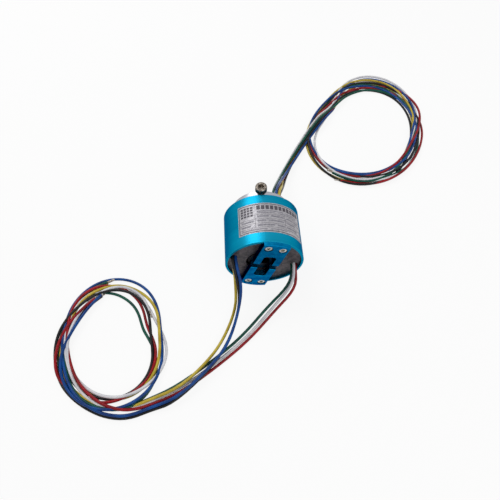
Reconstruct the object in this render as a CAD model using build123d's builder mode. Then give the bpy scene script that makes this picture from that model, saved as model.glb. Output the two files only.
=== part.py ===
from build123d import *
from math import cos, radians, sin, tan
import os

# Through-bore slip ring lying on its side, with both looms of leads coiled on the table.
# Millimetres. The rotation axis is Y: the stator's end plate faces -Y, the rotor's flange +Y.
# The origin is on the axis, halfway along the housing, and +Z is up.

os.makedirs("parts", exist_ok=True)

# Housing
housing_radius = 28.0
housing_length = 40.0
rim_wall = 1.7
ledge_width = 0.6
web_thickness = 8.5
web_lip = 1.5
web_lip_height = 1.6
rim_chamfer = 0.4
cut_overrun = 1.0

# End plate, recessed in the near rim
plate_recess = 2.0
plate_thickness = 4.0
plate_lip = 2.0
plate_lip_height = 3.0
plate_gap = 0.05
boss_wall = 2.5
lead_hole_radius = 2.8

# Fork bar across the end plate
bar_tilt = 17.8
bar_width = 19.0
bar_rise = 3.0
bar_edge = 0.3
cross_gap = 5.0
slot_width = 9.0
slot_length = 26.0
slot_corner = 2.5
fork_gap = 0.1

# Socket cap screws of the forks
fork_screw_inset = 0.25
fork_screw_half_pitch = 5.1
fork_head_radius = 2.75
fork_head_height = 3.0
fork_head_sink = 0.6
fork_shank_radius = 1.45
fork_shank_length = 12.0
fork_socket_flats = 2.5
fork_socket_depth = 1.5
head_pocket_gap = 0.25
screw_hole_gap = 0.2
thread_gap = 0.05

# Internal lugs that take the fork screws
lug_width = 17.0
lug_length = 9.5
lug_gap = 0.68

# Ball bearings, one at each end of the sleeve
sleeve_radius = 10.0
bearing_height = 6.0
bearing_width = 7.0
ball_radius = 1.75
ball_count = 10
ball_gap = 0.03
race_shoulder = 1.15
cage_wall = 1.4
cage_width = 4.4
seat_gap = 0.02

# Rotor sleeve and flange
bore_radius = 4.0
sleeve_front_gap = 0.4
shoulder_height = 1.9
flange_gap = 0.6
flange_length = 8.4
flange_radius = 21.2
flange_chamfer = 0.6
tunnel_wall = 1.4
tunnel_height = 2.4
tunnel_span = 44.0
exit_angle = 42.0
exit_edge = 2.4
exit_radius = 3.9
exit_depth = 6.4

# Clamp screw in the flange
clamp_head_radius = 4.25
clamp_head_height = 5.0
clamp_stand = 5.1
clamp_shank_radius = 2.45
clamp_shank_length = 19.0
clamp_socket_flats = 4.0
clamp_socket_depth = 2.5
head_chamfer_share = 0.12

# Retaining ring on the sleeve's near end
clip_width = 1.1
clip_groove_depth = 0.7
clip_height = 1.6
clip_opening = 7.0
clip_lug_radius = 1.2
clip_eye_radius = 0.5
clip_end_gap = 0.1

# Contact rings and insulators
ring_count = 6
barrier_width = 1.2
barrier_height = 5.0
bush_wall = 1.2
ring_wall = 2.3
stack_gap = 0.05
stack_end_gap = 0.1

# Brush blocks, brushes and springs
block_width = 14.0
block_ring_gap = 1.6
block_wall_gap = 0.3
block_front_gap = 0.3
pocket_wall = 2.2
pocket_width = 5.2
brush_gap = 0.1
brush_side_gap = 0.25
spring_radius = 0.7
spring_length = 3.5
spring_side_gap = 0.05
spring_wire_share = 0.4
block_screw_inset = 0.3
block_screw_half_pitch = 5.2
block_screw_radius = 0.9
block_screw_grip = 6.0
block_head_radius = 1.7
block_head_height = 1.2

# Leads and their coils
lead_radius = 1.05
coil_height = 6.6
coil_edge = 1.8
arc_share = 0.45

# Places along the axis
near_rim_y = -housing_length / 2
far_face_y = housing_length / 2
plate_face_y = near_rim_y + plate_recess
plate_back_y = plate_face_y + plate_thickness
fork_face_y = near_rim_y - bar_rise
front_bearing_y = plate_face_y + plate_lip
front_bearing_back_y = front_bearing_y + bearing_width
web_front_y = far_face_y - web_thickness
rear_bearing_back_y = web_front_y + bearing_width
sleeve_front_y = plate_face_y + sleeve_front_gap
flange_near_y = far_face_y + flange_gap
flange_far_y = flange_near_y + flange_length
clamp_y = (flange_near_y + flange_far_y) / 2
block_front_y = front_bearing_back_y + block_front_gap

# Radii that follow from the sizes above
rim_bore_radius = housing_radius - rim_wall
cavity_radius = rim_bore_radius - ledge_width
lead_hole_place = cavity_radius - lead_hole_radius
bearing_radius = sleeve_radius + bearing_height
wall_middle_radius = (cavity_radius + housing_radius) / 2
plate_radius = rim_bore_radius - plate_gap
bearing_seat_radius = bearing_radius + seat_gap
boss_radius = bearing_seat_radius + boss_wall
lug_inner = boss_radius + lug_gap
fork_screw_place = (lug_inner + rim_bore_radius) / 2 - fork_screw_inset
ball_pitch_radius = (sleeve_radius + bearing_radius) / 2
race_groove_radius = ball_radius + ball_gap
race_height = (bearing_radius - sleeve_radius) / 2 - race_shoulder
ring_inner_radius = sleeve_radius + seat_gap + bush_wall + stack_gap
ring_outer_radius = ring_inner_radius + ring_wall
barrier_radius = sleeve_radius + barrier_height
block_inner = barrier_radius + block_ring_gap
block_outer = cavity_radius - block_wall_gap
block_screw_place = (block_inner + block_outer) / 2 - block_screw_inset
tunnel_radius = sleeve_radius - tunnel_wall - tunnel_height / 2
exit_place = flange_radius - exit_radius - exit_edge
exit_reach = exit_place - exit_radius - tunnel_radius
table_z = -housing_radius


def cross_plane(y, tilt=0.0):
    """Plane across the axis at y that faces -Y, its x axis turned by tilt below +X."""
    across = (cos(radians(tilt)), 0, -sin(radians(tilt)))
    return Plane(origin=(0, y, 0), x_dir=across, z_dir=(0, -1, 0))


def cross_point(place, y, tilt=0.0):
    """Plane like cross_plane, with its origin at a place given on that plane."""
    across = cross_plane(y, tilt)
    origin = across.from_local_coords((place[0], place[1], 0))
    return Plane(origin=origin, x_dir=across.x_dir, z_dir=across.z_dir)


def save(piece, name):
    """Label a finished piece and write it under its node's name."""
    piece.part.label = name
    export_step(piece.part, f"parts/{name}.step")


def revolved_ring(y_start, y_end, inner, outer):
    """Plain ring about the axis between two places along it."""
    with BuildPart() as ring:
        with BuildSketch(cross_plane(y_end)):
            Circle(outer)
            Circle(inner, mode=Mode.SUBTRACT)
        extrude(amount=y_end - y_start)
    return ring


def cap_screw(seat, head_radius, head_height, shank_radius, shank_length, flats, socket_depth):
    """Socket cap screw: its head stands on the seat plane and its shank runs behind it."""
    with BuildPart() as screw:
        with BuildSketch(seat):
            Circle(head_radius)
        extrude(amount=head_height)
        rim = screw.edges().filter_by(GeomType.CIRCLE).sort_by(Axis(seat.origin, seat.z_dir))[-1]
        chamfer(rim, head_radius * head_chamfer_share)
        with BuildSketch(seat):
            Circle(shank_radius)
        extrude(amount=-shank_length)
        with BuildSketch(seat.offset(head_height)):
            RegularPolygon(flats / 2, 6, major_radius=False)
        extrude(amount=-socket_depth, mode=Mode.SUBTRACT)
    return screw


# Housing: a turned cup with a bearing seat in its far web and two lugs for the fork screws
fork_screw_places = [
    (side * fork_screw_half_pitch, end * fork_screw_place) for end in (1, -1) for side in (-1, 1)
]
block_screw_places = [
    (side * block_screw_place, end * block_screw_half_pitch) for side in (-1, 1) for end in (-1, 1)
]
with BuildPart() as housing:
    with BuildSketch(Plane.YZ):
        with BuildLine():
            Polyline(
                (near_rim_y, rim_bore_radius),
                (near_rim_y, housing_radius),
                (far_face_y, housing_radius),
                (far_face_y, bearing_seat_radius - web_lip_height),
                (far_face_y - web_lip, bearing_seat_radius - web_lip_height),
                (far_face_y - web_lip, bearing_seat_radius),
                (web_front_y, bearing_seat_radius),
                (web_front_y, cavity_radius),
                (plate_back_y, cavity_radius),
                (plate_back_y, rim_bore_radius),
                close=True,
            )
        make_face()
    revolve(axis=Axis.Y)
    outer_rims = housing.edges().filter_by(GeomType.CIRCLE).sort_by(SortBy.RADIUS)[-2:]
    chamfer(outer_rims, rim_chamfer)
    with BuildSketch(cross_plane(plate_back_y + lug_length, bar_tilt)):
        Rectangle(lug_width, 2 * housing_radius)
        Rectangle(lug_width, 2 * lug_inner, mode=Mode.SUBTRACT)
        Circle(wall_middle_radius, mode=Mode.INTERSECT)
    extrude(amount=lug_length)
    with BuildSketch(cross_plane(plate_back_y + lug_length, bar_tilt)):
        with Locations(*fork_screw_places):
            Circle(fork_shank_radius + thread_gap)
    extrude(amount=lug_length, mode=Mode.SUBTRACT)
    with BuildSketch(cross_plane(web_front_y + block_screw_grip, bar_tilt)):
        with Locations(*block_screw_places):
            Circle(block_screw_radius + thread_gap)
    extrude(amount=block_screw_grip, mode=Mode.SUBTRACT)
save(housing, "housing")

# End plate: carries the near bearing in a boss and lets the stator leads out beside the bar
with BuildPart() as end_plate:
    with BuildSketch(Plane.YZ):
        with BuildLine():
            Polyline(
                (plate_face_y, bearing_seat_radius - plate_lip_height),
                (plate_face_y, plate_radius),
                (plate_back_y, plate_radius),
                (plate_back_y, boss_radius),
                (front_bearing_back_y, boss_radius),
                (front_bearing_back_y, bearing_seat_radius),
                (front_bearing_y, bearing_seat_radius),
                (front_bearing_y, bearing_seat_radius - plate_lip_height),
                close=True,
            )
        make_face()
    revolve(axis=Axis.Y)
    with BuildSketch(cross_plane(plate_back_y, bar_tilt)):
        with Locations((-lead_hole_place, 0), (lead_hole_place, 0)):
            Circle(lead_hole_radius)
        with Locations(*fork_screw_places):
            Circle(fork_shank_radius + screw_hole_gap)
    extrude(amount=plate_thickness, mode=Mode.SUBTRACT)
save(end_plate, "end_plate")

# Forks: two U-shaped blocks whose arms meet across the end plate and leave an oblong slot
for end, name in ((1, "upper_fork"), (-1, "lower_fork")):
    arm_middle = end * (cross_gap + housing_radius) / 2
    with BuildPart() as fork:
        for y_back, y_front, reach in (
            (plate_face_y, near_rim_y, rim_bore_radius - fork_gap),
            (near_rim_y, fork_face_y, housing_radius),
        ):
            with BuildSketch(cross_plane(y_back, bar_tilt)):
                with Locations((0, arm_middle)):
                    Rectangle(bar_width, housing_radius)
                Circle(reach, mode=Mode.INTERSECT)
                RectangleRounded(slot_width, slot_length, slot_corner, mode=Mode.SUBTRACT)
            extrude(amount=y_back - y_front)
        face_edges = fork.faces().sort_by(Axis.Y)[0].edges()
        chamfer(face_edges, bar_edge)
        with BuildSketch(cross_plane(fork_face_y + fork_head_sink + fork_head_height, bar_tilt)):
            with Locations(*fork_screw_places):
                Circle(fork_head_radius + head_pocket_gap)
        extrude(amount=fork_head_sink + fork_head_height, mode=Mode.SUBTRACT)
        with BuildSketch(cross_plane(plate_face_y, bar_tilt)):
            with Locations(*fork_screw_places):
                Circle(fork_shank_radius + screw_hole_gap)
        extrude(amount=plate_recess + bar_rise, mode=Mode.SUBTRACT)
    save(fork, name)

fork_screw_names = (
    "upper_fork_screw_left",
    "upper_fork_screw_right",
    "lower_fork_screw_left",
    "lower_fork_screw_right",
)
for place, name in zip(fork_screw_places, fork_screw_names):
    seat = cross_point(place, fork_face_y + fork_head_sink + fork_head_height, bar_tilt)
    fork_screw = cap_screw(
        seat,
        fork_head_radius,
        fork_head_height,
        fork_shank_radius,
        fork_shank_length,
        fork_socket_flats,
        fork_socket_depth,
    )
    save(fork_screw, name)

# Bearings: grooved races, a ring of balls and a drilled cage at each end of the ring stack
for end_name, y_start in (("front", front_bearing_y), ("rear", web_front_y)):
    y_middle = y_start + bearing_width / 2
    inner_race_middle = sleeve_radius + seat_gap + (race_height - seat_gap) / 2
    outer_race_middle = bearing_radius - race_height / 2
    for race_name, middle, height in (
        ("inner_race", inner_race_middle, race_height - seat_gap),
        ("outer_race", outer_race_middle, race_height),
    ):
        with BuildPart() as race:
            with BuildSketch(Plane.YZ):
                with Locations((y_middle, middle)):
                    Rectangle(bearing_width, height)
                with Locations((y_middle, ball_pitch_radius)):
                    Circle(race_groove_radius, mode=Mode.SUBTRACT)
            revolve(axis=Axis.Y)
        save(race, f"{end_name}_{race_name}")

    with BuildPart() as balls:
        with Locations(cross_plane(y_middle)):
            with PolarLocations(ball_pitch_radius, ball_count):
                Sphere(ball_radius)
    save(balls, f"{end_name}_balls")

    cage = revolved_ring(
        y_middle - cage_width / 2,
        y_middle + cage_width / 2,
        ball_pitch_radius - cage_wall / 2,
        ball_pitch_radius + cage_wall / 2,
    )
    with cage:
        with Locations(cross_plane(y_middle)):
            with PolarLocations(ball_pitch_radius, ball_count):
                Cylinder(
                    race_groove_radius,
                    2 * ball_radius,
                    rotation=(0, 90, 0),
                    mode=Mode.SUBTRACT,
                )
    save(cage, f"{end_name}_cage")

# Rotor sleeve: bored for the shaft, with the flange, the clamp screw's hole and the lead exit
groove_start_y = front_bearing_y - clip_width - 2 * clip_end_gap
groove_radius = sleeve_radius - clip_groove_depth
exit_way = Vector(cos(radians(exit_angle)), sin(radians(exit_angle)))
stack_start_y = front_bearing_back_y
with BuildPart() as rotor_sleeve:
    with BuildSketch(Plane.YZ):
        with BuildLine():
            Polyline(
                (sleeve_front_y, bore_radius),
                (sleeve_front_y, sleeve_radius),
                (groove_start_y, sleeve_radius),
                (groove_start_y, groove_radius),
                (front_bearing_y, groove_radius),
                (front_bearing_y, sleeve_radius),
                (rear_bearing_back_y, sleeve_radius),
                (rear_bearing_back_y, sleeve_radius + shoulder_height),
                (flange_near_y, sleeve_radius + shoulder_height),
                (flange_near_y, flange_radius),
                (flange_far_y, flange_radius),
                (flange_far_y, bore_radius),
                close=True,
            )
        make_face()
    revolve(axis=Axis.Y)
    flange_rims = rotor_sleeve.edges().filter_by(GeomType.CIRCLE).sort_by(SortBy.RADIUS)[-2:]
    chamfer(flange_rims, flange_chamfer)
    with BuildSketch(cross_plane(flange_far_y)):
        SlotCenterPoint(exit_way * (exit_place - exit_reach / 2), exit_way * exit_place, 2 * exit_radius)
    extrude(amount=exit_depth, mode=Mode.SUBTRACT)
    with BuildSketch(cross_plane(flange_far_y)):
        SlotArc(
            CenterArc(
                (0, 0), tunnel_radius, exit_angle - tunnel_span / 2, tunnel_span, mode=Mode.PRIVATE
            ),
            tunnel_height,
        )
    extrude(amount=flange_far_y - stack_start_y, mode=Mode.SUBTRACT)
    with BuildSketch(Plane(origin=(0, clamp_y, 0), z_dir=(0, 0, 1))):
        Circle(clamp_shank_radius + thread_gap)
    extrude(amount=flange_radius + cut_overrun, mode=Mode.SUBTRACT)
save(rotor_sleeve, "rotor_sleeve")

clamp_seat = Plane(origin=(0, clamp_y, flange_radius + clamp_stand), z_dir=(0, 0, 1))
clamp_screw = cap_screw(
    clamp_seat,
    clamp_head_radius,
    clamp_head_height,
    clamp_shank_radius,
    clamp_shank_length,
    clamp_socket_flats,
    clamp_socket_depth,
)
save(clamp_screw, "clamp_screw")

# Retaining ring: an open ring with two eyes, in the groove in front of the near bearing
clip_radius = groove_radius + clip_height
with BuildPart() as retaining_ring:
    with BuildSketch(cross_plane(front_bearing_y - clip_end_gap)):
        Circle(clip_radius)
        with Locations((-clip_opening / 2, clip_radius), (clip_opening / 2, clip_radius)):
            Circle(clip_lug_radius)
        with Locations((0, clip_radius)):
            Rectangle(clip_opening - clip_lug_radius, clip_radius, mode=Mode.SUBTRACT)
        with Locations((-clip_opening / 2, clip_radius), (clip_opening / 2, clip_radius)):
            Circle(clip_eye_radius, mode=Mode.SUBTRACT)
        Circle(groove_radius + seat_gap, mode=Mode.SUBTRACT)
    extrude(amount=clip_width)
save(retaining_ring, "retaining_ring")

# Ring stack: top-hat insulators, a contact ring on each bush, and a closing washer
stack_length = web_front_y - stack_end_gap - stack_start_y
ring_width = (stack_length - (ring_count + 1) * barrier_width) / ring_count
stack_pitch = ring_width + barrier_width
bush_radius = ring_inner_radius - stack_gap
for number in range(1, ring_count + 2):
    barrier_start_y = stack_start_y + (number - 1) * stack_pitch
    with BuildPart() as insulator:
        with BuildSketch(cross_plane(barrier_start_y + barrier_width)):
            Circle(barrier_radius)
            Circle(sleeve_radius + seat_gap, mode=Mode.SUBTRACT)
        extrude(amount=barrier_width)
        if number <= ring_count:
            with BuildSketch(cross_plane(barrier_start_y + stack_pitch)):
                Circle(bush_radius)
                Circle(sleeve_radius + seat_gap, mode=Mode.SUBTRACT)
            extrude(amount=ring_width)
    save(insulator, f"insulator_{number}")

ring_places_y = [
    stack_start_y + barrier_width + ring_width / 2 + index * stack_pitch for index in range(ring_count)
]
for number, ring_y in enumerate(ring_places_y, start=1):
    contact_ring = revolved_ring(
        ring_y - ring_width / 2, ring_y + ring_width / 2, ring_inner_radius, ring_outer_radius
    )
    save(contact_ring, f"contact_ring_{number}")

# Brush blocks: moulded blocks on either side of the ring stack, each with three brush pockets
# and a spring bore behind each pocket
block_length = web_front_y - block_front_y
spring_floor = block_outer - pocket_wall
brush_back = spring_floor - spring_length
brush_length = brush_back - ring_outer_radius - brush_gap
brush_thickness = ring_width - 2 * brush_side_gap
pocket_depth = brush_back - block_inner
pocket_gap = brush_gap / 2
for side, side_name in ((-1, "left"), (1, "right")):
    ring_start = 0 if side < 0 else 1
    block_rings_y = ring_places_y[ring_start::2]
    side_screws = [place for place in block_screw_places if place[0] * side > 0]
    with BuildPart() as brush_block:
        with BuildSketch(cross_plane(web_front_y, bar_tilt)):
            with Locations((side * (block_inner + housing_radius) / 2, 0)):
                Rectangle(housing_radius - block_inner, block_width)
            Circle(block_outer, mode=Mode.INTERSECT)
        extrude(amount=block_length)
        with BuildSketch(cross_plane(web_front_y, bar_tilt)):
            with Locations(*side_screws):
                Circle(block_screw_radius + thread_gap)
        extrude(amount=block_length, mode=Mode.SUBTRACT)
        for ring_y in block_rings_y:
            pocket_thickness = brush_thickness + 2 * pocket_gap
            with BuildSketch(cross_plane(ring_y + pocket_thickness / 2, bar_tilt)):
                with Locations((side * (block_inner + pocket_depth / 2), 0)):
                    Rectangle(pocket_depth, pocket_width + 2 * pocket_gap)
            extrude(amount=pocket_thickness, mode=Mode.SUBTRACT)
            foot = cross_point((side * spring_floor, 0), ring_y, bar_tilt)
            with BuildSketch(Plane(origin=foot.origin, z_dir=foot.x_dir * -side)):
                Circle(spring_radius + spring_side_gap)
            extrude(amount=spring_length, mode=Mode.SUBTRACT)
    save(brush_block, f"{side_name}_brush_block")

    with BuildPart() as springs:
        for ring_y in block_rings_y:
            foot = cross_point((side * spring_floor, 0), ring_y, bar_tilt)
            with BuildSketch(Plane(origin=foot.origin, z_dir=foot.x_dir * -side)):
                Circle(spring_radius)
                Circle(spring_radius * (1 - spring_wire_share), mode=Mode.SUBTRACT)
            extrude(amount=spring_length)
    save(springs, f"{side_name}_brush_springs")

    with BuildPart() as block_screws:
        for place in side_screws:
            seat = cross_point(place, block_front_y, bar_tilt)
            with BuildSketch(seat):
                Circle(block_head_radius)
            extrude(amount=block_head_height)
            with BuildSketch(seat):
                Circle(block_screw_radius)
            extrude(amount=-(block_length + block_screw_grip))
    save(block_screws, f"{side_name}_block_screws")

# Brushes: one to a ring, their tips hollowed to the ring with a running gap
for number, ring_y in enumerate(ring_places_y, start=1):
    side = -1 if number % 2 else 1
    brush_middle = brush_back - (brush_length + brush_gap) / 2
    with BuildPart() as brush:
        with BuildSketch(cross_plane(ring_y + brush_thickness / 2, bar_tilt)):
            with Locations((side * brush_middle, 0)):
                Rectangle(brush_length + brush_gap, pocket_width)
            Circle(ring_outer_radius + brush_gap, mode=Mode.SUBTRACT)
        extrude(amount=brush_thickness)
    save(brush, f"brush_{number}")


def lead_tube(name, points):
    """Tube along straight runs with an arc at each corner as large as its two runs allow."""
    places = [Vector(*point) for point in points]
    runs = [after - before for before, after in zip(places, places[1:])]
    radii = []
    for run_in, run_out in zip(runs, runs[1:]):
        half_turn = radians(run_in.get_angle(run_out)) / 2
        radii.append(arc_share * min(run_in.length, run_out.length) / tan(half_turn))
    with BuildPart() as lead:
        with BuildLine():
            route = FilletPolyline(*places, radius=radii)
        with BuildSketch(Plane(origin=route @ 0, z_dir=route % 0)):
            Circle(lead_radius)
        sweep()
    save(lead, name)
    return radii, route.length, lead.part.volume


# Stator leads: out of the end plate beside the bar, down to the table and across to their coil.
# The three from the left hole pass over the three from the right hole on the way.
stator_lead_routes = {
    "yellow": [
        (-22.0, -8.7, 5.7),
        (-22.0, -21.5, 5.7),
        (-21.1, -32.8, -8.2),
        (-21.8, -44.3, -21.8),
        (-31.1, -65.4, -24.7),
        (-42.0, -80.5, -24.6),
        (-61.0, -97.9, -24.6),
        (-83.4, -105.4, -24.9),
    ],
    "blue": [
        (-20.6, -8.7, 7.4),
        (-20.6, -23.5, 7.4),
        (-16.7, -34.5, -4.0),
        (-19.7, -47.3, -17.6),
        (-27.1, -68.0, -22.4),
        (-36.3, -81.0, -22.4),
        (-60.9, -104.3, -22.8),
        (-80.8, -109.7, -25.6),
    ],
    "black": [
        (-22.8, -8.7, 7.8),
        (-22.8, -22.5, 7.8),
        (-18.8, -34.7, -5.6),
        (-19.4, -45.7, -20.3),
        (-28.0, -69.0, -24.7),
        (-42.6, -88.4, -24.6),
        (-65.3, -108.2, -25.0),
        (-79.7, -111.3, -26.9),
    ],
    "green": [
        (20.7, -8.7, -7.6),
        (20.7, -21.5, -7.6),
        (17.2, -32.0, -13.5),
        (1.7, -42.7, -23.5),
        (-14.6, -59.6, -26.9),
        (-29.9, -73.3, -26.9),
        (-62.7, -96.2, -26.9),
        (-83.9, -104.6, -26.9),
    ],
    "white": [
        (21.8, -8.7, -5.7),
        (21.8, -21.9, -5.7),
        (19.4, -33.0, -11.8),
        (5.2, -44.0, -22.6),
        (-11.4, -60.9, -26.9),
        (-30.4, -77.0, -26.9),
        (-59.1, -97.1, -26.9),
        (-82.8, -106.4, -26.9),
    ],
    "red": [
        (22.9, -8.7, -7.6),
        (22.9, -22.9, -7.6),
        (21.9, -34.3, -13.8),
        (7.6, -46.1, -23.4),
        (-10.8, -64.7, -26.9),
        (-30.0, -79.6, -26.9),
        (-57.9, -99.1, -26.9),
        (-81.7, -108.3, -26.9),
    ],
}

# Rotor leads: out of the flange's exit in two layers of three, down to the table behind
rotor_lead_routes = {
    "green": [
        (8.8, 22.6, 11.1),
        (8.8, 35.6, 11.1),
        (13.1, 49.6, 1.2),
        (18.1, 66.1, -12.6),
        (23.7, 82.6, -22.1),
        (31.8, 99.1, -24.9),
        (47.3, 126.4, -24.0),
        (64.6, 150.4, -20.4),
    ],
    "red": [
        (11.1, 22.6, 11.1),
        (11.1, 35.6, 11.1),
        (15.4, 49.4, 1.2),
        (20.4, 65.4, -12.6),
        (25.8, 81.5, -22.1),
        (33.7, 98.1, -24.9),
        (49.4, 125.4, -24.0),
        (67.0, 149.0, -20.4),
    ],
    "blue": [
        (13.4, 22.6, 11.1),
        (13.4, 35.6, 11.1),
        (18.1, 49.0, 1.0),
        (23.3, 64.6, -13.1),
        (28.7, 79.8, -23.3),
        (36.4, 96.7, -26.9),
        (52.4, 124.0, -25.9),
        (70.5, 146.8, -22.3),
    ],
    "white": [
        (8.8, 22.6, 8.8),
        (8.8, 34.0, 8.8),
        (12.5, 49.6, -1.9),
        (16.8, 66.6, -15.2),
        (22.3, 83.1, -24.6),
        (30.4, 99.9, -26.9),
        (46.0, 127.1, -25.9),
        (63.0, 151.4, -22.3),
    ],
    "yellow": [
        (11.1, 22.6, 8.8),
        (11.1, 34.0, 8.8),
        (15.2, 49.2, -1.9),
        (19.0, 66.0, -15.5),
        (24.3, 82.1, -24.7),
        (32.4, 98.9, -26.9),
        (48.1, 126.1, -25.9),
        (65.5, 149.9, -22.3),
    ],
    "black": [
        (13.4, 22.6, 8.8),
        (13.4, 34.0, 8.8),
        (17.9, 48.4, -1.9),
        (21.1, 65.4, -15.5),
        (26.4, 81.1, -24.7),
        (34.4, 97.8, -26.9),
        (50.3, 125.0, -25.9),
        (68.0, 148.3, -22.3),
    ],
}

lead_section = Circle(lead_radius, mode=Mode.PRIVATE).area
for owner, routes in (("stator", stator_lead_routes), ("rotor", rotor_lead_routes)):
    for colour, points in routes.items():
        radii, length, volume = lead_tube(f"{owner}_lead_{colour}", points)
        listed = ", ".join(f"{radius:.1f}" for radius in radii)
        ratio = volume / (lead_section * length)
        print(f"{owner} lead {colour}: length {length:.1f}, volume ratio {ratio:.4f}, radii {listed}")

# Coils: the outer shape of each loom's loose turns, as they lie on the table
coil_outlines = {
    "stator_lead_coil": (
        [
            (-69.5, -66.0),
            (-70.5, -88.0),
            (-74.0, -104.0),
            (-79.5, -114.0),
            (-94.0, -118.0),
            (-110.0, -117.5),
            (-132.0, -106.0),
            (-148.5, -84.0),
            (-150.5, -60.0),
            (-141.0, -33.0),
            (-121.0, -10.5),
            (-102.0, -9.0),
            (-81.5, -28.0),
        ],
        [
            (-83.5, -62.0),
            (-87.5, -84.0),
            (-104.0, -98.5),
            (-124.0, -92.0),
            (-137.0, -72.0),
            (-138.0, -56.0),
            (-128.0, -35.0),
            (-113.0, -21.0),
            (-97.0, -33.0),
        ],
    ),
    "rotor_lead_coil": (
        [
            (52.5, 126.0),
            (60.0, 88.0),
            (88.0, 69.5),
            (122.0, 79.0),
            (155.0, 111.0),
            (166.0, 160.0),
            (158.0, 203.0),
            (132.0, 220.0),
            (103.0, 206.0),
            (69.0, 178.0),
            (56.0, 150.0),
        ],
        [
            (63.0, 126.0),
            (68.0, 98.0),
            (90.0, 84.5),
            (118.0, 94.0),
            (143.0, 122.0),
            (152.0, 155.0),
            (146.0, 184.0),
            (124.0, 197.0),
            (99.0, 186.0),
            (76.0, 160.0),
        ],
    ),
}
for name, (outer_points, inner_points) in coil_outlines.items():
    with BuildPart() as coil:
        with BuildSketch(Plane.XY.offset(table_z)):
            with BuildLine():
                Spline(*outer_points, periodic=True)
            make_face()
            with BuildLine():
                Spline(*inner_points, periodic=True)
            make_face(mode=Mode.SUBTRACT)
        extrude(amount=coil_height)
        chamfer(coil.faces().sort_by(Axis.Z)[-1].edges(), coil_edge)
    save(coil, name)
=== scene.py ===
import math

import bmesh
import bpy
from mathutils import Euler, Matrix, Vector


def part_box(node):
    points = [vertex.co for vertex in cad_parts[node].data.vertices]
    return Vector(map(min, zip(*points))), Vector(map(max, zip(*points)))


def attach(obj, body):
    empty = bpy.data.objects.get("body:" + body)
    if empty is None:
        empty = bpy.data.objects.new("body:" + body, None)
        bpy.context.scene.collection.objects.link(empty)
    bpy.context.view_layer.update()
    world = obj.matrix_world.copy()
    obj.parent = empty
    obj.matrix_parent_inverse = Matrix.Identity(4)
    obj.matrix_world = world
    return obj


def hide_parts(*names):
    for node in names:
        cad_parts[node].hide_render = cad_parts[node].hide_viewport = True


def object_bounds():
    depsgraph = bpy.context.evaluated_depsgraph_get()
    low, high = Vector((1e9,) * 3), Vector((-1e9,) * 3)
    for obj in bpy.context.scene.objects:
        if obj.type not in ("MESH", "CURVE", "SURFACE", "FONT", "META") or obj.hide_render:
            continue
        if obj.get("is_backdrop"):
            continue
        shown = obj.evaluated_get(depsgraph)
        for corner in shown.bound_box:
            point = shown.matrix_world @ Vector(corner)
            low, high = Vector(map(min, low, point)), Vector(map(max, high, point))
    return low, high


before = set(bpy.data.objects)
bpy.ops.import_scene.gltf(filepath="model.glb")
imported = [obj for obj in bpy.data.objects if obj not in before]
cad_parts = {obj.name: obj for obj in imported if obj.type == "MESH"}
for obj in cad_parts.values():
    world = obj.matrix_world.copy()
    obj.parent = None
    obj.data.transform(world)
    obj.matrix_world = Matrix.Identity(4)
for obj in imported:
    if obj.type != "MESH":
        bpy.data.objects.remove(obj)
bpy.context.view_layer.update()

# Slip ring on a pale table, with a loom of six leads coiled on either side of it.
# Metres, in the CAD frame: the axis of rotation is Y and +Z is up.

mm = 0.001


def new_object(name, data):
    """Object in the scene that shows the given data."""
    item = bpy.data.objects.new(name, data)
    bpy.context.scene.collection.objects.link(item)
    return item


# Camera: the photograph's view
camera_place = (-0.01887, -0.17934, 0.27612)
camera_elevation = math.radians(58.19)
camera_azimuth = math.radians(3.07)
camera_lens = 32.27
sensor_width = 36.0

camera_data = bpy.data.cameras.new("camera")
camera_data.lens = camera_lens
camera_data.sensor_width = sensor_width
camera_data.clip_start = 0.01
camera = new_object("camera", camera_data)
camera.location = camera_place
camera.rotation_euler = Euler((math.pi / 2 - camera_elevation, 0, -camera_azimuth))
bpy.context.scene.camera = camera

# Sizes taken from the frame
housing_low, housing_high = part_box("housing")
housing_radius = housing_high.z
table_z = housing_low.z

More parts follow.
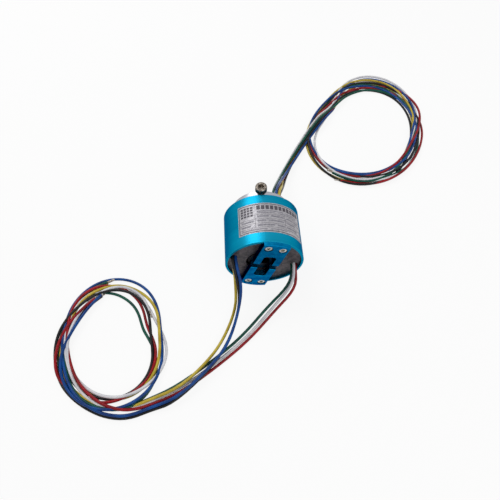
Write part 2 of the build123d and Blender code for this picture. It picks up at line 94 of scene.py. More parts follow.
# Lead routes from hole to coil: the points of the CAD tubes, some of them moved by up to 4.3 mm
# within their bundle, to follow the photograph
stator_routes = {
    "yellow": [
        (-0.0220, -0.0087, 0.0057),
        (-0.0220, -0.0215, 0.0057),
        (-0.0211, -0.0328, -0.0082),
        (-0.0218, -0.0443, -0.0218),
        (-0.0311, -0.0654, -0.0247),
        (-0.0420, -0.0805, -0.0246),
        (-0.0610, -0.0979, -0.0246),
        (-0.0834, -0.1054, -0.0249),
    ],
    "blue": [
        (-0.0206, -0.0087, 0.0074),
        (-0.0206, -0.0235, 0.0074),
        (-0.0167, -0.0345, -0.0040),
        (-0.0197, -0.0473, -0.0176),
        (-0.0271, -0.0680, -0.0224),
        (-0.0363, -0.0810, -0.0224),
        (-0.0609, -0.1043, -0.0228),
        (-0.0808, -0.1097, -0.0256),
    ],
    "black": [
        (-0.0228, -0.0087, 0.0078),
        (-0.0228, -0.0225, 0.0078),
        (-0.0188, -0.0347, -0.0056),
        (-0.0194, -0.0457, -0.0203),
        (-0.0280, -0.0690, -0.0247),
        (-0.0425, -0.0879, -0.0246),
        (-0.0651, -0.1076, -0.0250),
        (-0.0797, -0.1107, -0.0269),
    ],
    "green": [
        (0.0207, -0.0087, -0.0076),
        (0.0207, -0.0215, -0.0076),
        (0.0172, -0.0320, -0.0135),
        (0.0017, -0.0427, -0.0235),
        (-0.0146, -0.0596, -0.0269),
        (-0.0299, -0.0733, -0.0269),
        (-0.0627, -0.0962, -0.0269),
        (-0.0839, -0.1046, -0.0269),
    ],
    "white": [
        (0.0218, -0.0087, -0.0057),
        (0.0218, -0.0219, -0.0057),
        (0.0194, -0.0330, -0.0118),
        (0.0052, -0.0440, -0.0226),
        (-0.0114, -0.0609, -0.0269),
        (-0.0304, -0.0770, -0.0269),
        (-0.0591, -0.0971, -0.0269),
        (-0.0828, -0.1064, -0.0269),
    ],
    "red": [
        (0.0229, -0.0087, -0.0076),
        (0.0229, -0.0229, -0.0076),
        (0.0219, -0.0343, -0.0138),
        (0.0068, -0.0459, -0.0234),
        (-0.0114, -0.0642, -0.0269),
        (-0.0300, -0.0796, -0.0269),
        (-0.0579, -0.0991, -0.0269),
        (-0.0817, -0.1083, -0.0269),
    ],
}
rotor_routes = {
    "green": [
        (0.0088, 0.0226, 0.0111),
        (0.0098, 0.0356, 0.0111),
        (0.0137, 0.0496, 0.0012),
        (0.0181, 0.0661, -0.0126),
        (0.0237, 0.0826, -0.0221),
        (0.0318, 0.0991, -0.0249),
        (0.0481, 0.1260, -0.0238),
        (0.0656, 0.1498, -0.0202),
    ],
    "red": [
        (0.0111, 0.0226, 0.0088),
        (0.0121, 0.0340, 0.0088),
        (0.0156, 0.0492, -0.0008),
        (0.0204, 0.0654, -0.0148),
        (0.0258, 0.0815, -0.0240),
        (0.0337, 0.0981, -0.0264),
        (0.0505, 0.1247, -0.0262),
        (0.0682, 0.1484, -0.0236),
    ],
    "blue": [
        (0.0111, 0.0226, 0.0111),
        (0.0121, 0.0356, 0.0111),
        (0.0160, 0.0494, 0.0034),
        (0.0206, 0.0652, -0.0104),
        (0.0265, 0.0811, -0.0204),
        (0.0352, 0.0973, -0.0236),
        (0.0512, 0.1246, -0.0254),
        (0.0684, 0.1471, -0.0223),
    ],
    "white": [
        (0.0088, 0.0226, 0.0088),
        (0.0098, 0.0340, 0.0088),
        (0.0127, 0.0496, -0.0019),
        (0.0168, 0.0666, -0.0152),
        (0.0223, 0.0831, -0.0246),
        (0.0304, 0.0999, -0.0269),
        (0.0460, 0.1271, -0.0259),
        (0.0630, 0.1514, -0.0223),
    ],
    "yellow": [
        (0.0134, 0.0226, 0.0111),
        (0.0144, 0.0356, 0.0111),
        (0.0184, 0.0488, 0.0004),
        (0.0212, 0.0650, -0.0150),
        (0.0246, 0.0821, -0.0247),
        (0.0324, 0.0989, -0.0269),
        (0.0481, 0.1261, -0.0259),
        (0.0655, 0.1499, -0.0223),
    ],
    "black": [
        (0.0134, 0.0226, 0.0088),
        (0.0144, 0.0340, 0.0088),
        (0.0190, 0.0482, -0.0019),
        (0.0226, 0.0646, -0.0163),
        (0.0267, 0.0811, -0.0249),
        (0.0344, 0.0978, -0.0251),
        (0.0499, 0.1251, -0.0244),
        (0.0668, 0.1487, -0.0214),
    ],
}

# Coils: a mean loop about a centre, made oval and lopsided by waves round it, which the leads
# follow clockwise from where they come in. A wave is its number of crests, its height and the
# angle of a crest. Each lead's lanes are its distances outside the mean loop at every eighth of
# a turn, in mm, a line for each turn, and its turns end at the bared tip. The stretches, from
# turn to turn, are listed as they lie on each other, the lowest first.
coils = {
    "stator": {
        "centre": (-0.1105, -0.0620),
        "radius": 0.0392,
        "waves": [(1, 0.0016, -65.0), (2, 0.0063, -83.0), (3, 0.0016, -44.0)],
        "entry_angle": -58.0,
        "lanes": {
            "green": [
                0.8, -2.0, -1.5, 0.5, -11.2, -10.4, -4.5, 2.4,
                1.0, 2.0, 3.5, 3.6, 2.0,
            ],
            "white": [
                -1.8, -4.4, -0.5, 1.5, -4.6, -0.6, 5.4, -3.0,
                -7.0, -5.5, -3.4, -3.6, -2.6, -2.6,
            ],
            "black": [
                3.8, 4.0, 4.2, -2.2, -5.8, -3.4, -5.2, -5.4,
                -4.5, -2.0, -1.0, -5.6, -6.0,
            ],
            "red": [
                -4.2, -6.4, -1.5, 4.4, -5.2, -6.8, -2.6, -4.9,
                -1.0, 4.2, 0.6, -5.2, -6.0,
            ],
            "yellow": [
                -0.8, 0.5, 0.0, 0.5, -1.9, 3.1, 0.3, -3.4,
                -5.4, -4.0, 0.6, 2.4, 3.0,
            ],
            "blue": [
                2.4, -1.4, 1.0, 6.6, 4.3, 4.1, 2.0, 1.7,
                2.6, 1.0, -4.8, -7.4, -1.0,
            ],
        },
        "turns": {
            "green": 1.56,
            "white": 1.735,
            "black": 1.54,
            "red": 1.52,
            "yellow": 1.57,
            "blue": 1.545,
        },
        "laid": [
            ("yellow", 1.0, 1.6),
            ("green", 1.0, 1.6),
            ("black", 1.0, 1.55),
            ("red", 1.0, 1.2),
            ("yellow", 0.0, 0.45),
            ("white", 0.0, 0.3),
            ("green", 0.0, 1.0),
            ("white", 0.3, 0.86),
            ("blue", 0.2, 1.0),
            ("red", 0.3, 1.0),
            ("yellow", 0.45, 1.0),
            ("white", 1.35, 1.75),
            ("black", 0.0, 1.0),
            ("blue", 1.0, 1.2),
            ("white", 0.86, 1.35),
            ("blue", 0.0, 0.2),
            ("red", 0.0, 0.3),
            ("red", 1.2, 1.6),
            ("blue", 1.2, 1.6),
        ],
    },
    "rotor": {
        "centre": (0.1085, 0.1420),
        "radius": 0.0554,
        "waves": [(1, 0.0014, -44.0), (2, 0.0113, 62.4)],
        "entry_angle": 168.0,
        "lanes": {
            "white": [
                -6.4, 3.7, -7.0, 1.0, 8.0, 5.6, 0.6, -4.6,
                -4.0, 12.2, 2.2, -1.0, 0.0, 5.0, 1.0,
            ],
            "green": [
                -10.4, -12.0, -9.0, 3.4, 9.0, 2.6, 3.0, 4.8,
                0.6, -3.4, -8.6, 0.5, 1.0, 7.0, 1.5,
            ],
            "black": [
                -7.8, -11.0, -11.0, -3.0, 3.0, 9.6, 6.2, 4.2,
                -1.0, -0.6, -4.5, 3.9, 5.4, 1.2, -3.0,
            ],
            "red": [
                -9.2, -6.6, 2.3, 2.4, -0.8, 0.6, 3.6, 3.4,
                -4.0, -8.6, -7.0, 7.4, 9.2, 8.6, 7.0,
            ],
            "blue": [
                -8.2, 7.6, -1.6, -2.4, -0.4, -3.2, 1.6, 6.0,
                1.0, -6.4, -10.9, 1.4, 2.6, -1.8, 3.4,
            ],
            "yellow": [
                -9.8, -1.0, -6.6, -1.8, -0.6, 6.0, 7.2, 6.3,
                2.0, 3.8, -5.8, -1.8, -0.6, -2.6, 1.0,
            ],
        },
        "turns": {
            "green": 1.81,
            "white": 1.82,
            "black": 1.79,
            "red": 1.785,
            "yellow": 1.8,
            "blue": 1.82,
        },
        "laid": [
            ("black", 0.15, 0.7),
            ("yellow", 0.12, 1.0),
            ("white", 0.1, 0.7),
            ("green", 0.2, 1.0),
            ("red", 0.08, 0.33),
            ("blue", 0.06, 0.33),
            ("red", 0.8, 1.0),
            ("yellow", 1.5, 1.85),
            ("white", 1.35, 1.72),
            ("green", 1.0, 1.7),
            ("red", 1.15, 1.45),
            ("yellow", 1.0, 1.2),
            ("white", 1.0, 1.2),
            ("black", 1.0, 1.85),
            ("blue", 1.38, 1.7),
            ("yellow", 1.2, 1.5),
            ("white", 1.2, 1.35),
            ("red", 1.0, 1.15),
            ("blue", 1.0, 1.38),
            ("blue", 0.33, 1.0),
            ("red", 0.33, 0.8),
            ("red", 1.45, 1.76),
            ("black", 0.7, 1.0),
            ("white", 0.7, 1.0),
            ("green", 1.7, 1.85),
            ("white", 1.72, 1.85),
            ("blue", 1.7, 1.85),
            ("red", 1.76, 1.85),
            ("yellow", 0.0, 0.12),
            ("blue", 0.0, 0.06),
            ("red", 0.0, 0.08),
            ("black", 0.0, 0.15),
            ("white", 0.0, 0.1),
            ("green", 0.0, 0.2),
        ],
    },
}

lead_diameter = 2.1 * mm
lead_reach = lead_diameter / 2
lanes_per_turn = 8
stations_per_turn = 48
stations_per_lane = stations_per_turn // lanes_per_turn
stations_per_point = 2
first_station = 2  # where a lead's coil takes over from its route
press = 0.75  # distance between the middles of crossing leads, in diameters
lay_slope = 0.15  # steepest climb or fall along a coiled lead
pile_height = 5.0 * mm  # height over the lowest layer that no pile of leads exceeds


def between(values, place):
    """Smooth value at a place counted in entries of a list."""
    index = min(int(place), len(values) - 2)
    share = place - index
    last = len(values) - 1
    before, start, end, after = (
        values[min(max(k, 0), last)] for k in range(index - 1, index + 3)
    )
    slope_in = (end - before) / 2
    slope_out = (after - start) / 2
    lift = 3 * (end - start) - 2 * slope_in - slope_out
    curl = 2 * (start - end) + slope_in + slope_out
    return start + slope_in * share + lift * share**2 + curl * share**3


def loop_radius(coil, angle):
    """Mean loop's distance from the coil's centre."""
    return coil["radius"] + sum(
        height * math.cos(count * (angle - math.radians(crest)))
        for count, height, crest in coil["waves"]
    )


def station_angle(coil, station):
    """Angle of a station as seen from the coil's centre."""
    return math.radians(coil["entry_angle"]) - 2 * math.pi * station / stations_per_turn


def coil_lanes(coil, routes):
    """Distance outside the mean loop at every station of each lead."""
    lanes = {}
    for colour, table in coil["lanes"].items():
        end = Vector(routes[colour][-1][:2]) - Vector(coil["centre"])
        values = [end.length - loop_radius(coil, math.atan2(end.y, end.x))]
        values += [lane * mm for lane in table]
        count = round(coil["turns"][colour] * stations_per_turn)
        lanes[colour] = [
            between(values, station / stations_per_lane) for station in range(count + 1)
        ]
    return lanes


def settle(coil, lanes, routes):
    """Height of every station, each stretch pressed on to those laid before it at its angle."""
    floor = table_z + lead_reach
    reach = press * lead_diameter
    heights = {colour: [floor] * len(places) for colour, places in lanes.items()}
    laid = [[] for _ in range(stations_per_turn)]
    for colour, start, end in coil["laid"]:
        for station, lane in enumerate(lanes[colour]):
            if start <= station / stations_per_turn < end:
                under = laid[station % stations_per_turn]
                tops = [
                    top + math.sqrt(reach**2 - (lane - other) ** 2)
                    for other, top in under
                    if abs(lane - other) < reach
                ]
                heights[colour][station] = max(tops, default=floor)
                under.append((lane, heights[colour][station]))
    drop = lay_slope * 2 * math.pi * coil["radius"] / stations_per_turn
    for colour, profile in heights.items():
        profile[0] = max(profile[0], routes[colour][-1][2])
        for station in range(1, len(profile)):
            profile[station] = max(profile[station], profile[station - 1] - drop)
        for station in range(len(profile) - 2, 0, -1):
            profile[station] = max(profile[station], profile[station + 1] - drop)
        heights[colour] = [
            floor + pile_height * (1 - math.exp((floor - top) / pile_height)) for top in profile
        ]
    return heights


def coil_points(coil, lanes, heights):
    """Control points of one lead's turns."""
    points = []
    stations = list(range(first_station, len(lanes) - 1, stations_per_point)) + [len(lanes) - 1]
    for station in stations:
        angle = station_angle(coil, station)
        reach = loop_radius(coil, angle) + lanes[station]
        height = max(heights[max(station - 1, 0):station + 2])
        x = coil["centre"][0] + reach * math.cos(angle)
        y = coil["centre"][1] + reach * math.sin(angle)
        points.append((x, y, height))
    return points


def lead_curve(name, points):
    """Round lead along a smooth spline with the given control points."""
    curve = bpy.data.curves.new(name, "CURVE")
    curve.dimensions = "3D"
    curve.bevel_depth = 1.0  # times each point's radius
    curve.bevel_resolution = 3
    curve.use_fill_caps = True
    spline = curve.splines.new("NURBS")
    spline.points.add(len(points) - 1)
    for place, point in zip(points, spline.points):
        point.co = (*place, 1)
        point.radius = lead_reach
    spline.order_u = 3
    spline.use_endpoint_u = True
    spline.resolution_u = 4
    return new_object(name, curve)


def spline_length(piece):
    """Length of a lead's centreline, and its points."""
    line = piece.copy()
    line.data = piece.data.copy()
    line.data.bevel_depth = 0
    mesh = bpy.data.meshes.new_from_object(line)
    places = [vertex.co.copy() for vertex in mesh.vertices]
    bpy.data.objects.remove(line)
    bpy.data.meshes.remove(mesh)
    return sum((after - before).length for before, after in zip(places, places[1:])), places


leads = []
for owner, routes in (("stator", stator_routes), ("rotor", rotor_routes)):
    coil = coils[owner]
    lanes = coil_lanes(coil, routes)
    heights = settle(coil, lanes, routes)
    for colour, route in routes.items():
        points = route + coil_points(coil, lanes[colour], heights[colour])
        lead = lead_curve(f"{owner}_{colour}_lead", points)
        length, places = spline_length(lead)
        leads.append((lead, owner, colour, route[0], length, places[-3:]))

for lead, owner, colour, *_ in leads:
    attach(lead, owner)
    nodes = [f"{owner}_lead_{colour}"]
    if colour == "blue":
        nodes.append(f"{owner}_lead_coil")
    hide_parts(*nodes)


def srgb(red, green, blue):
    """Linear colour of an sRGB colour given in 0 to 255."""
    shares = (value / 255 for value in (red, green, blue))
    return tuple(
        share / 12.92 if share <= 0.04045 else ((share + 0.055) / 1.055) ** 2.4 for share in shares
    )


def add_node(tree, kind, settings=None, **inputs):
    """Shader node with its settings, and its inputs set or linked by name."""
    node = tree.nodes.new(kind)
    for key, value in (settings or {}).items():
        setattr(node, key, value)
    for key, value in inputs.items():
        socket = node.inputs[key.replace("_", " ")]
        if isinstance(value, bpy.types.NodeSocket):
            tree.links.new(value, socket)
        else:
            socket.default_value = value
    return node


def surface_place(tree, turned, stretch):
    """Object coordinates, or distance from and along the axis for a part turned in a lathe."""
    place = add_node(tree, "ShaderNodeTexCoord").outputs["Object"]
    if turned:
        parts = add_node(tree, "ShaderNodeSeparateXYZ", Vector=place).outputs
        across = add_node(tree, "ShaderNodeCombineXYZ", X=parts["X"], Z=parts["Z"]).outputs[0]
        reach = add_node(tree, "ShaderNodeVectorMath", {"operation": "LENGTH"}, Vector=across)
        place = add_node(
            tree, "ShaderNodeCombineXYZ", X=reach.outputs["Value"], Y=parts["Y"]
        ).outputs[0]
    return add_node(tree, "ShaderNodeMapping", Vector=place, Scale=stretch).outputs[0]


tone_spread = 0.15  # how far from the middle of the noise the two tones lie


def make_material(
    name,
    tones,
    metallic=0.0,
    roughness=0.4,
    uneven=0.08,
    mottle=260.0,
    grain=2500.0,
    relief=0.01 * mm,
    turned=False,
    stretch=(1, 1, 1),
    constants=None,
):
    """Material with mottled tones, uneven roughness and a fine relief."""
    material = bpy.data.materials.new(name)
    material.use_nodes = True
    tree = material.node_tree
    shader = tree.nodes["Principled BSDF"]
    shader.inputs["Metallic"].default_value = metallic
    for key, value in (constants or {}).items():
        shader.inputs[key].default_value = value
    place = surface_place(tree, turned, stretch)
    mottling = add_node(tree, "ShaderNodeTexNoise", Vector=place, Scale=mottle, Detail=4.0)
    ramp = add_node(tree, "ShaderNodeValToRGB", Fac=mottling.outputs[0])
    for element, tone, step in zip(ramp.color_ramp.elements, tones, (-tone_spread, tone_spread)):
        element.position = 0.5 + step
        element.color = (*tone, 1)
    tree.links.new(ramp.outputs["Color"], shader.inputs["Base Color"])
    fine = add_node(tree, "ShaderNodeTexNoise", Vector=place, Scale=grain, Detail=2.0).outputs[0]
    rough = add_node(
        tree,
        "ShaderNodeMapRange",
        Value=fine,
        From_Min=0.3,
        From_Max=0.7,
        To_Min=roughness - uneven,
        To_Max=roughness + uneven,
    ).outputs[0]
    tree.links.new(rough, shader.inputs["Roughness"])
    bump = add_node(tree, "ShaderNodeBump", Strength=1.0, Distance=relief, Height=fine).outputs[0]
    tree.links.new(bump, shader.inputs["Normal"])
    return material


def tint(material, colour, axis, start, end, source="Normal", both_ways=True):
    """Painted shade: blend in a colour by which way the surface faces along an axis, or by where it
    lies on it.
    """
    tree = material.node_tree
    shader = tree.nodes["Principled BSDF"]
    base = shader.inputs["Base Color"].links[0].from_socket
    facing = add_node(tree, "ShaderNodeTexCoord").outputs[source]
    part = add_node(tree, "ShaderNodeSeparateXYZ", Vector=facing).outputs[axis]
    if both_ways:
        part = add_node(tree, "ShaderNodeMath", {"operation": "ABSOLUTE"}, Value=part).outputs[0]
    share = add_node(
        tree,
        "ShaderNodeMapRange",
        {"interpolation_type": "SMOOTHSTEP"},
        Value=part,
        From_Min=start,
        From_Max=end,
    ).outputs[0]
    mixed = add_node(tree, "ShaderNodeMixRGB", Fac=share, Color1=base, Color2=(*colour, 1))
    tree.links.new(mixed.outputs[0], shader.inputs["Base Color"])


# Lead insulation: glossy, slightly uneven plastic
insulation_tones = {
    "yellow": (srgb(176, 152, 42), srgb(208, 186, 72)),
    "blue": (srgb(2, 50, 112), srgb(8, 74, 146)),
    "black": (srgb(10, 10, 13), srgb(26, 25, 28)),
    "green": (srgb(0, 58, 50), srgb(6, 84, 66)),
    "white": (srgb(206, 206, 212), srgb(230, 229, 232)),
    "red": (srgb(122, 6, 16), srgb(158, 14, 28)),
}
for lead, owner, colour, *_ in leads:
    insulation = make_material(
        f"{owner} {colour} insulation",
        insulation_tones[colour],
        roughness=0.34,
        uneven=0.06,
        mottle=120.0,
        grain=1500.0,
        relief=0.012 * mm,
        constants={"Specular IOR Level": 0.2},
    )
    lead.data.materials.append(insulation)

# Metals and plastics
steel = make_material(
    "polished steel",
    (srgb(165, 166, 170), srgb(205, 206, 210)),
    metallic=1.0,
    roughness=0.18,
    uneven=0.05,
    relief=0.002 * mm,
)
ground_steel = make_material(
    "ground steel",
    (srgb(150, 151, 156), srgb(198, 199, 204)),
    metallic=1.0,
    roughness=0.26,
    grain=4000.0,
    relief=0.004 * mm,
    turned=True,
)
stainless = make_material(
    "stainless",
    (srgb(172, 170, 162), srgb(218, 216, 208)),
    metallic=1.0,
    roughness=0.3,
    relief=0.006 * mm,
)
screw_steel = make_material(
    "screw steel",
    (srgb(70, 62, 56), srgb(158, 150, 140)),
    metallic=1.0,
    roughness=0.28,
    mottle=900.0,
)
spring_steel = make_material(
    "spring steel",
    (srgb(80, 80, 86), srgb(135, 135, 140)),
    metallic=1.0,
    roughness=0.32,
)
# Black oxide, also used as painted shade on the front bearing's races and on the clamp screw's
# shank and head underside
black_oxide_and_painted_shade = make_material(
    "black oxide",
    (srgb(14, 14, 17), srgb(38, 34, 36)),
    metallic=0.3,
    roughness=0.45,
)
brass = make_material(
    "brass",
    (srgb(176, 140, 72), srgb(214, 180, 104)),
    metallic=1.0,
    roughness=0.28,
    grain=3500.0,
    turned=True,
)
gold = make_material(
    "gold plated ring",
    (srgb(214, 168, 72), srgb(240, 200, 112)),
    metallic=1.0,
    roughness=0.2,
    uneven=0.07,
    grain=5000.0,
    relief=0.004 * mm,
    turned=True,
)
brush_metal = make_material(
    "copper graphite",
    (srgb(70, 52, 44), srgb(132, 92, 70)),
    metallic=0.6,
    roughness=0.5,
    uneven=0.1,
    mottle=1500.0,
)
block_plastic = make_material(
    "black plastic",
    (srgb(30, 31, 34), srgb(46, 46, 50)),
    roughness=0.5,
    relief=0.02 * mm,
)
insulator = make_material(
    "insulator plastic",
    (srgb(206, 198, 178), srgb(228, 222, 204)),
    roughness=0.45,
    uneven=0.06,
    turned=True,
)
turned_aluminium = make_material(
    "turned aluminium",
    (srgb(132, 132, 138), srgb(172, 172, 178)),
    metallic=0.9,
    roughness=0.34,
    grain=3000.0,
    relief=0.006 * mm,
    turned=True,
)
plate = make_material(
    "dark end plate",
    (srgb(34, 32, 38), srgb(78, 70, 74)),
    metallic=0.35,
    roughness=0.5,
    uneven=0.12,
    mottle=420.0,
    grain=1800.0,
    relief=0.02 * mm,
)
anodised = make_material(
    "blue anodised",
    (srgb(12, 116, 148), srgb(20, 138, 170)),
    metallic=1.0,
    roughness=0.38,
    uneven=0.06,
    mottle=90.0,
    grain=3500.0,
    relief=0.005 * mm,
    turned=True,
    constants={"Specular Tint": (0.05, 0.4, 0.6, 1)},
)
fork_blue = make_material(
    "blue anodised fork",
    (srgb(0, 92, 138), srgb(6, 116, 162)),
    metallic=1.0,
    roughness=0.36,
    uneven=0.06,
    grain=2200.0,
    relief=0.008 * mm,
    constants={"Specular Tint": (0.05, 0.3, 0.6, 1)},
)

# Painted shade: the sleeve darkens towards its near end, standing in for the shade in the bore, and
# the blues deepen on faces that look sideways, standing in for the shade on the housing's sides and
# the fork's walls
# Painted shade: the sleeve's near end is darkened
tint(
    turned_aluminium,
    srgb(24, 20, 22),
    "Y",
    start=-6 * mm,
    end=-10 * mm,
    source="Object",
    both_ways=False,
)
# Painted shade: the housing's sideways-facing faces are tinted darker
tint(anodised, srgb(10, 110, 142), "X", start=0.7, end=1.0)
# Painted shade: the fork's side walls are tinted deep navy, standing in for the shade on them
tint(fork_blue, srgb(0, 22, 66), "X", start=0.6, end=0.95)

# Looks of the CAD nodes: the first whose word is in the node's name
looks = [
    ("housing", anodised),
    ("end_plate", plate),
    ("fork_screw", stainless),
    ("fork", fork_blue),
    ("rotor_sleeve", turned_aluminium),
    ("retaining_ring", black_oxide_and_painted_shade),
    # Painted shade: the front bearing's races are dark, standing in for the shade inside the end
    # plate's opening
    ("front_outer_race", black_oxide_and_painted_shade),
    ("front_inner_race", black_oxide_and_painted_shade),
    ("race", ground_steel),
    ("balls", steel),
    ("cage", brass),
    ("clamp_screw", screw_steel),
    ("brush_springs", spring_steel),
    ("block_screws", stainless),
    ("brush_block", block_plastic),
    ("brush", brush_metal),
    ("contact_ring", gold),
    ("insulator", insulator),
    ("lead", block_plastic),
]
for name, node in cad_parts.items():
    node.data.materials.clear()
    node.data.materials.append(next(look for word, look in looks if word in name))


def mesh_piece(name, mesh, body, materials, smooth=False):
    """Object from a bmesh, riding on a body."""
    data = bpy.data.meshes.new(name)
    mesh.normal_update()
    mesh.to_mesh(data)
    mesh.free()
    for material in materials:
        data.materials.append(material)
    if smooth:
        data.shade_smooth()
    piece = new_object(name, data)
    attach(piece, body)
    return piece


# Rating label: a foil with a ruled, unlettered print, wrapped round the housing
label_start = math.radians(-38)
label_end = math.radians(67)
label_back = 12.5 * mm
label_width = (label_end - label_start) * housing_radius
label_height = 24.5 * mm
foil_lift = 0.08 * mm
print_lift = 0.12 * mm
label_step = 1.2 * mm
foil_slot, dark_slot, grey_slot = range(3)


def label_point(across, down, lift):
    """Point on the label, from its upper left corner as it is read."""
    angle = label_start + across / housing_radius
    reach = housing_radius + lift
    return (reach * math.sin(angle), label_back - down, reach * math.cos(angle))


def add_patch(mesh, left, top, width, height, lift, slot, skirt=False):
    """Rectangle bent round the housing, with an edge down to it where it has a skirt."""
    steps = max(1, math.ceil(width / label_step))
    places = [left + width * step / steps for step in range(steps + 1)]
    edges = [
        [mesh.verts.new(label_point(place, top + down, lift)) for down in (0, height)]
        for place in places
    ]
    faces = [mesh.faces.new((a[0], a[1], b[1], b[0])) for a, b in zip(edges, edges[1:])]
    if skirt:
        rim = [edge[0] for edge in edges] + [edge[1] for edge in reversed(edges)]
        corners = [(place, top) for place in places]
        corners += [(place, top + height) for place in reversed(places)]
        foot = [mesh.verts.new(label_point(across, down, -foil_lift)) for across, down in corners]
        for index in range(len(rim)):
            after = (index + 1) % len(rim)
            faces.append(mesh.faces.new((rim[index], rim[after], foot[after], foot[index])))
    for face in faces:
        face.material_index = slot


def add_rows(mesh, rows, slot):
    """Patches given in mm from the label's upper left corner as left, top, width and height."""
    for row in rows:
        left, top, width, height = (value * mm for value in row)
        add_patch(mesh, left, top, width, height, print_lift, slot)


foil = make_material(
    "label foil",
    (srgb(146, 144, 152), srgb(188, 186, 190)),
    metallic=0.3,
    roughness=0.42,
    mottle=500.0,
    stretch=(1, 3, 1),
)
dark_ink = make_material(
    "dark ink",
    (srgb(52, 48, 58), srgb(84, 80, 90)),
    metallic=0.1,
    roughness=0.5,
    uneven=0.06,
    mottle=900.0,
)
grey_ink = make_material(
    "grey ink",
    (srgb(112, 110, 120), srgb(150, 148, 156)),
    metallic=0.1,
    roughness=0.5,
    uneven=0.06,
    mottle=900.0,
)

# The print, in mm: a border, blocks in place of a title, hatching beside them and a ruled table
wide = label_width / mm
high = label_height / mm
border = 0.55
inset = 0.7
inner = inset + border
rule = 0.22
border_rows = [
    (inset, inset, wide - 2 * inset, border),
    (inset, high - inset - border, wide - 2 * inset, border),
    (inset, inner, border, high - 2 * inner),
    (wide - inset - border, inner, border, high - 2 * inner),
]
title_rows = [(14.2 + 3.15 * k, 2.1, 2.4, 3.4) for k in range(11)]
hatch_rows = [(2.4 + 2.4 * k, top, 1.8, 1.6) for top in (2.4, 4.6, 6.8, 9.0) for k in range(4)]
line_rows = [(13.0, 9.6, wide - 15.0, rule)]
line_rows += [(1.8, top, wide - 3.6, rule) for top in (13.2, 16.8, 20.4)]
column_rows = [(12.6, 9.6, rule, 10.8), (34.2, 9.6, rule, 10.8)]
entry_rows = [
    (14.2, 6.5, 19.0, 0.9),
    (35.0, 6.5, 11.0, 0.9),
    (14.2, 8.0, 13.0, 0.8),
    (29.0, 8.0, 16.0, 0.8),
    (14.2, 10.6, 8.0, 1.3),
    (24.0, 10.6, 9.5, 1.3),
    (35.5, 10.6, 6.0, 1.3),
    (43.0, 10.6, 4.5, 1.3),
    (2.6, 14.3, 9.0, 1.3),
    (14.2, 14.3, 6.0, 1.3),
    (22.0, 14.3, 11.0, 1.3),
    (35.5, 14.3, 8.5, 1.3),
    (2.6, 17.9, 7.0, 1.3),
    (14.2, 17.9, 12.0, 1.3),
    (28.0, 17.9, 5.5, 1.3),
    (35.5, 17.9, 10.0, 1.3),
    (2.6, 21.5, 18.0, 0.8),
    (23.0, 21.5, 12.0, 0.8),
]

label = bmesh.new()
add_patch(label, 0, 0, label_width, label_height, foil_lift, foil_slot, skirt=True)
for rows in (border_rows, title_rows, hatch_rows, line_rows):
    add_rows(label, rows, dark_slot)
add_rows(label, entry_rows, grey_slot)
add_rows(label, column_rows, dark_slot)
mesh_piece("rating_label", label, "stator", [foil, dark_ink, grey_ink])

# Clamp screw: socket head with a knurled side and a threaded shank; the shank and the head's
# underside are dark as painted shade
screw_low, screw_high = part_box("clamp_screw")
screw_y = (screw_low.y + screw_high.y) / 2
head_radius = (screw_high.x - screw_low.x) / 2
head_height = 5.0 * mm
seat_z = screw_high.z - head_height
neck_z = seat_z - 0.3 * mm
knurl_count = 30
knurl_depth = 0.16 * mm
knurl_radius = head_radius - knurl_depth
knurl_start = 0.5 * mm
knurl_length = 3.4 * mm
knurl_steps = 8
socket_reach = 2.3 * mm
socket_depth = 2.5 * mm
shank_radius = 2.45 * mm
thread_top = seat_z - 0.5 * mm
thread_depth = 0.3 * mm
thread_pitch = 0.8 * mm
painted_shade_top = seat_z + 0.2 * mm
painted_shade_slot = 1
screw_sides = 4 * knurl_count
half_flat = math.pi / 6


def screw_ring(mesh, reach, height, knurl=0.0, flats=False):
    """Ring of points round the screw, round, fluted or flattened to a hexagon."""
    ring = []
    for side in range(screw_sides):
        angle = 2 * math.pi * side / screw_sides
        out = reach + knurl * math.cos(knurl_count * angle)
        if flats:
            from_flat = (angle + half_flat) % (2 * half_flat) - half_flat
            out = reach * math.cos(half_flat) / math.cos(from_flat)
        place = (out * math.sin(angle), screw_y + out * math.cos(angle), height)
        ring.append(mesh.verts.new(place))
    return ring


def join_rings(mesh, lower, upper):
    """Side faces between two rings of the screw."""
    for side in range(screw_sides):
        after = (side + 1) % screw_sides
        mesh.faces.new((lower[side], upper[side], upper[after], lower[after]))


screw = bmesh.new()
rings = [
    screw_ring(screw, shank_radius, neck_z),
    screw_ring(screw, shank_radius + 0.2 * mm, seat_z),
    screw_ring(screw, head_radius - 0.5 * mm, seat_z),
    screw_ring(screw, knurl_radius, seat_z + 0.35 * mm),
]
for step in range(knurl_steps + 1):
    height = seat_z + knurl_start + knurl_length * step / knurl_steps
    rings.append(screw_ring(screw, knurl_radius, height, knurl_depth))
rings += [
    screw_ring(screw, knurl_radius, seat_z + 4.05 * mm),
    screw_ring(screw, head_radius - 0.2 * mm, seat_z + 4.5 * mm),
    screw_ring(screw, head_radius - 0.62 * mm, screw_high.z - 0.08 * mm),
    screw_ring(screw, head_radius - 0.8 * mm, screw_high.z),
    screw_ring(screw, socket_reach + 0.35 * mm, screw_high.z),
    screw_ring(screw, socket_reach + 0.05 * mm, screw_high.z - 0.25 * mm),
    screw_ring(screw, socket_reach, screw_high.z - 0.3 * mm, flats=True),
    screw_ring(screw, socket_reach, screw_high.z - socket_depth, flats=True),
]
for lower, upper in zip(rings, rings[1:]):
    join_rings(screw, lower, upper)
screw.faces.new(list(reversed(rings[-1])))

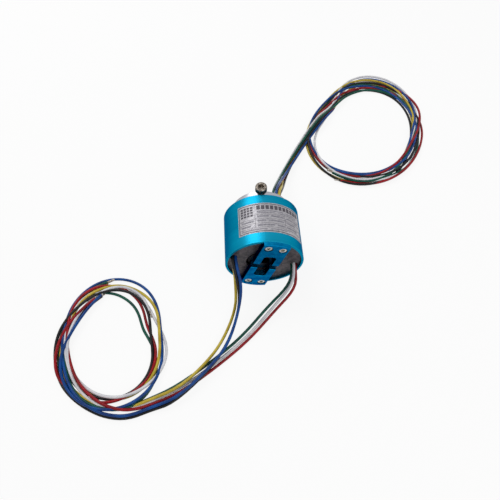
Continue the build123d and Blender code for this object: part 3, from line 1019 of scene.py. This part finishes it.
turn_count = int((neck_z - screw_low.z) / thread_pitch)
thread = [rings[0]]
for turn in range(turn_count):
    for depth, drop in ((0.0, 0.0), (thread_depth, 0.25), (0.0, 0.5)):
        height = thread_top - turn * thread_pitch - drop * thread_pitch
        thread.append(screw_ring(screw, shank_radius - depth, height))
thread.append(screw_ring(screw, shank_radius - 0.5 * mm, screw_low.z))
for upper, lower in zip(thread, thread[1:]):
    join_rings(screw, lower, upper)
screw.faces.new(thread[-1])

# Painted shade: faces of the shank and the head's underside take the dark look, standing in for the
# shadow under the head
for face in screw.faces:
    if face.calc_center_median().z < painted_shade_top:
        face.material_index = painted_shade_slot
clamp_piece = mesh_piece("clamp_screw_detail", screw, "rotor", [screw_steel, black_oxide_and_painted_shade])
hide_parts("clamp_screw")

# Bared lead ends: tinned strands round a straight one, with a twist
strand_count = 6
strand_radius = 0.2 * mm
strand_reach = 0.4 * mm
strand_sides = 6
tip_taper = 0.7
bare_length = 6.5 * mm
bare_cover = 1.0 * mm
bare_steps = 18
twist_pitch = 7.0 * mm
tinned = make_material(
    "tinned copper",
    (srgb(132, 118, 104), srgb(196, 190, 182)),
    metallic=1.0,
    roughness=0.32,
    mottle=1200.0,
    relief=0.004 * mm,
)


def bare_end(name, places, body):
    """Strands along the line that a lead's end points along, from inside the insulation."""
    mesh = bmesh.new()
    along = (places[-1] - places[-3]).normalized()
    side = along.cross(Vector((0, 0, 1))).normalized()
    over = side.cross(along)
    start = places[-1] - along * bare_cover
    for strand in range(strand_count + 1):
        rings = []
        for step in range(bare_steps + 1):
            run = bare_length * step / bare_steps
            angle = 2 * math.pi * (strand / strand_count + run / twist_pitch)
            reach = strand_reach if strand < strand_count else 0.0
            middle = start + along * run
            middle += (side * math.cos(angle) + over * math.sin(angle)) * reach
            radius = strand_radius * (tip_taper if step == bare_steps else 1.0)
            ring = []
            for corner in range(strand_sides):
                turn = 2 * math.pi * corner / strand_sides
                out = (side * math.cos(turn) + over * math.sin(turn)) * radius
                ring.append(mesh.verts.new(middle + out))
            rings.append(ring)
        for before, after in zip(rings, rings[1:]):
            for corner in range(strand_sides):
                turned = (corner + 1) % strand_sides
                mesh.faces.new((before[corner], before[turned], after[turned], after[corner]))
        mesh.faces.new(list(reversed(rings[0])))
        mesh.faces.new(rings[-1])
    return mesh_piece(name, mesh, body, [tinned], smooth=True)


for lead, owner, colour, start, length, places in leads:
    tip = bare_end(f"{owner}_{colour}_bare_end", places, owner)

table_half = 3.0
table_tone = 0.92
table_roughness = 0.85
table_glow = 0.88
world_strength = 0.45


def ray_share(tree, *kinds):
    """1 for rays of the given kinds and 0 for all others."""
    ray = add_node(tree, "ShaderNodeLightPath").outputs
    share = ray[kinds[0]]
    for kind in kinds[1:]:
        either = add_node(tree, "ShaderNodeMath", {"operation": "MAXIMUM"}, Value=share)
        tree.links.new(ray[kind], either.inputs[1])
        share = either.outputs[0]
    return share


# Table: nearly white to the camera and in reflections, and it keeps a soft shadow
corners = ((-1, -1), (1, -1), (1, 1), (-1, 1))
floor_mesh = bpy.data.meshes.new("table")
floor_mesh.from_pydata(
    [(x * table_half, y * table_half, table_z) for x, y in corners], [], [(0, 1, 2, 3)]
)
floor = new_object("table", floor_mesh)
table = bpy.data.materials.new("table")
table.use_nodes = True
tree = table.node_tree
shader = tree.nodes["Principled BSDF"]
shader.inputs["Base Color"].default_value = (table_tone, table_tone, table_tone, 1)
shader.inputs["Roughness"].default_value = table_roughness
shader.inputs["Specular IOR Level"].default_value = 0.0
share = ray_share(tree, "Is Camera Ray", "Is Glossy Ray")
seen = add_node(tree, "ShaderNodeMath", {"operation": "MULTIPLY"}, Value=share)
seen.inputs[1].default_value = table_glow
glow = add_node(tree, "ShaderNodeEmission", Color=(1, 1, 1, 1), Strength=1.0).outputs[0]
blend = add_node(tree, "ShaderNodeMixShader", Fac=seen.outputs[0])
tree.links.new(shader.outputs[0], blend.inputs[1])
tree.links.new(glow, blend.inputs[2])
tree.links.new(blend.outputs[0], tree.nodes["Material Output"].inputs["Surface"])
floor.data.materials.append(table)
floor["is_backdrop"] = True


def area_light(name, place, size, power):
    """Round lamp that points at the slip ring."""
    light = bpy.data.lights.new(name, "AREA")
    light.shape = "DISK"
    light.size = size
    light.energy = power
    lamp = new_object(name, light)
    lamp.location = place
    lamp.rotation_euler = (-Vector(place)).to_track_quat("-Z", "Y").to_euler()


area_light("key", place=(-0.42, 0.6, 0.81), size=0.7, power=4.2)
area_light("fill", place=(0.5, -0.7, 0.8), size=0.9, power=3.4)

# World: white to the camera, in reflections and through glass, and weaker as a light
world = bpy.data.worlds.new("world")
bpy.context.scene.world = world
world.use_nodes = True
tree = world.node_tree
background = tree.nodes["Background"]
background.inputs["Color"].default_value = (1, 1, 1, 1)
strength = add_node(
    tree,
    "ShaderNodeMapRange",
    Value=ray_share(tree, "Is Camera Ray", "Is Glossy Ray", "Is Transmission Ray"),
    From_Min=0.0,
    From_Max=1.0,
    To_Min=world_strength,
    To_Max=1.0,
).outputs[0]
tree.links.new(strength, background.inputs["Strength"])
bpy.context.scene.view_settings.view_transform = "Standard"

low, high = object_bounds()
